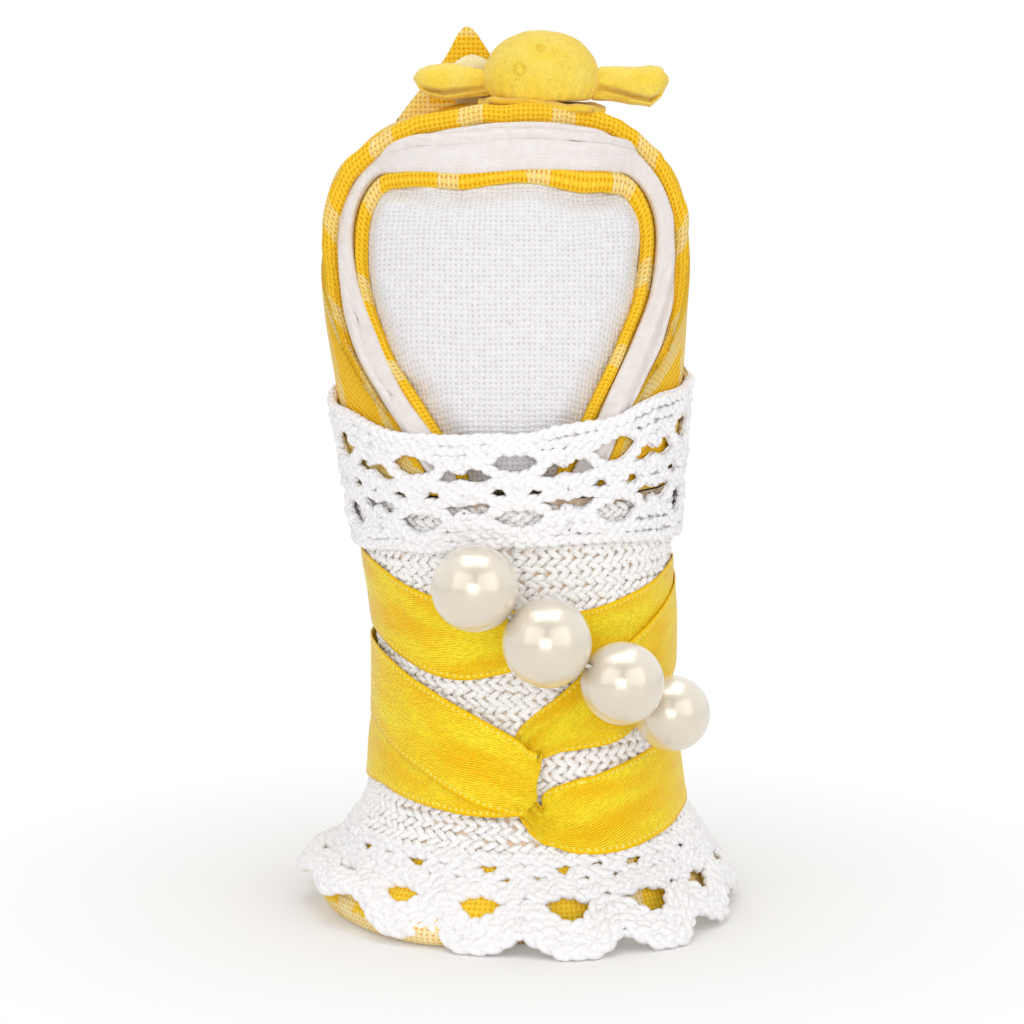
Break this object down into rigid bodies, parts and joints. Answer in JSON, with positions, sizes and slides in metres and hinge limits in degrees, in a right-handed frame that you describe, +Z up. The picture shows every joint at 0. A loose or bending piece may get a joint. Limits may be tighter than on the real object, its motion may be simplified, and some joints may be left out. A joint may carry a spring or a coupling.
{
  "type": "amulet doll",
  "caption": "Swaddled cloth amulet doll with a blank face, a kerchief hood, a crochet dress, a criss-cross satin ribbon and pearl beads; it stands on its flat base.",
  "frame": {"origin": "centre of the flat base, on the surface the doll stands on", "axes": "+Z up through the head, -Y out of the face, +X to the right as seen from the front"},
  "size_m": [0.0542, 0.0586, 0.1082],
  "materials": {
    "check_cotton": "plain weave with a yellow and cream check",
    "cream_cotton": "plain weave",
    "white_linen": "plain weave",
    "crochet_cotton": "crochet",
    "satin": "glossy satin weave with woven edges",
    "pearl_coat": "pearl lustre",
    "white_thread": "twisted thread",
    "red_thread": "twisted thread",
    "ornament_cotton": "embossed soft cloth"
  },
  "bodies": {
    "doll": {"core_roll": "cream_cotton", "roll_tie_lower": "white_thread", "roll_tie_upper": "white_thread", "neck_thread": "red_thread", "head_padding": "cream_cotton", "face_cloth": "white_linen", "inner_kerchief": "check_cotton", "forehead_band": "white_linen", "outer_kerchief": "check_cotton", "swaddle_cloth": "check_cotton", "lace_dress": "crochet_cotton", "chest_lace_band": "crochet_cotton", "satin_ribbon": "satin", "pearl_thread": "white_thread", "ornament_backing": "ornament_cotton", "ornament_dome_cover": "ornament_cotton", "ornament_dome_pad": "cream_cotton", "ornament_wing_left": "ornament_cotton", "ornament_wing_right": "ornament_cotton"},
    "bead_1": {"pearl_1": "pearl_coat"},
    "bead_2": {"pearl_2": "pearl_coat"},
    "bead_3": {"pearl_3": "pearl_coat"},
    "bead_4": {"pearl_4": "pearl_coat"}
  },
  "joints": [
    {"name": "bead_1_spin", "type": "hinge", "parent": "doll", "child": "bead_1", "pos_m": [-0.00545, -0.0238, 0.043], "axis": [0.793, -0.0184, -0.609], "continuous": true},
    {"name": "bead_2_spin", "type": "hinge", "parent": "doll", "child": "bead_2", "pos_m": [0.003, -0.02399, 0.03651], "axis": [0.8295, 0.0736, -0.5536], "continuous": true},
    {"name": "bead_3_spin", "type": "hinge", "parent": "doll", "child": "bead_3", "pos_m": [0.01194, -0.02225, 0.0314], "axis": [0.7717, 0.3818, -0.5086], "continuous": true},
    {"name": "bead_4_spin", "type": "hinge", "parent": "doll", "child": "bead_4", "pos_m": [0.0181, -0.01652, 0.02656], "axis": [0.6347, 0.5908, -0.4981], "continuous": true}
  ]
}
